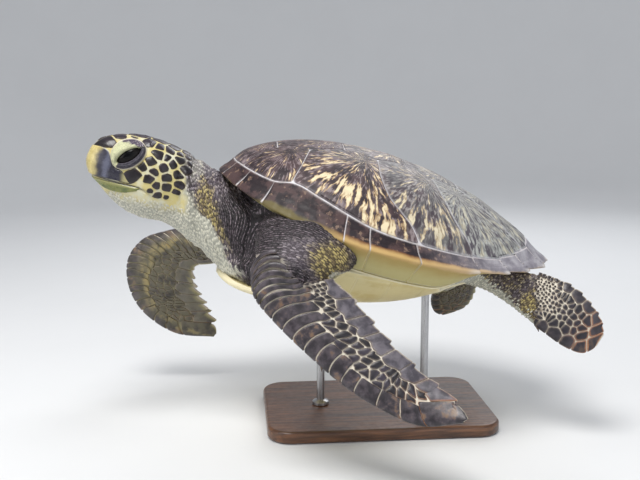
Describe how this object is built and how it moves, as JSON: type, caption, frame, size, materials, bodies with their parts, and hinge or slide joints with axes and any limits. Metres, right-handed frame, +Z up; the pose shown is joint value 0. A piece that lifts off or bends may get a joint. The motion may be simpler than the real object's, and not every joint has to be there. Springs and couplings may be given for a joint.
{
  "type": "green sea turtle",
  "caption": "Green sea turtle, a still life-size swimming pose with streaked shell and scaled flippers, held by rods above a plain flat display base.",
  "frame": {"origin": "middle of the stand base's underside", "axes": "+Z up; the animal heads along -Y, pitched nose up, with its left side towards +X"},
  "size_m": [0.5138, 0.72, 0.4315],
  "materials": {
    "scaly_skin": "satin, dark scales with pale cream borders",
    "upper_shell": "satin horn, dark brown with cream streaks",
    "belly_shell": "satin horn, pale yellow",
    "beak_horn": "satin horn",
    "claw_horn": "satin horn",
    "eye": "wet gloss",
    "stand_wood": "matt varnish",
    "stand_steel": "satin"
  },
  "bodies": {
    "root": {"head": "scaly_skin", "neck": "scaly_skin", "trunk": "scaly_skin", "tail": "scaly_skin", "arm_left": "scaly_skin", "arm_right": "scaly_skin", "flipper_front_left": "scaly_skin", "flipper_front_right": "scaly_skin", "leg_left": "scaly_skin", "leg_right": "scaly_skin", "flipper_hind_left": "scaly_skin", "flipper_hind_right": "scaly_skin", "beak_upper": "beak_horn", "beak_lower": "beak_horn", "eye_left": "eye", "eye_right": "eye", "claw_front_left": "claw_horn", "claw_front_right": "claw_horn", "claw_hind_left": "claw_horn", "claw_hind_right": "claw_horn", "carapace": "upper_shell", "plastron": "belly_shell", "stand_base": "stand_wood", "stand_rod_front": "stand_steel", "stand_rod_rear": "stand_steel"}
  },
  "joints": []
}
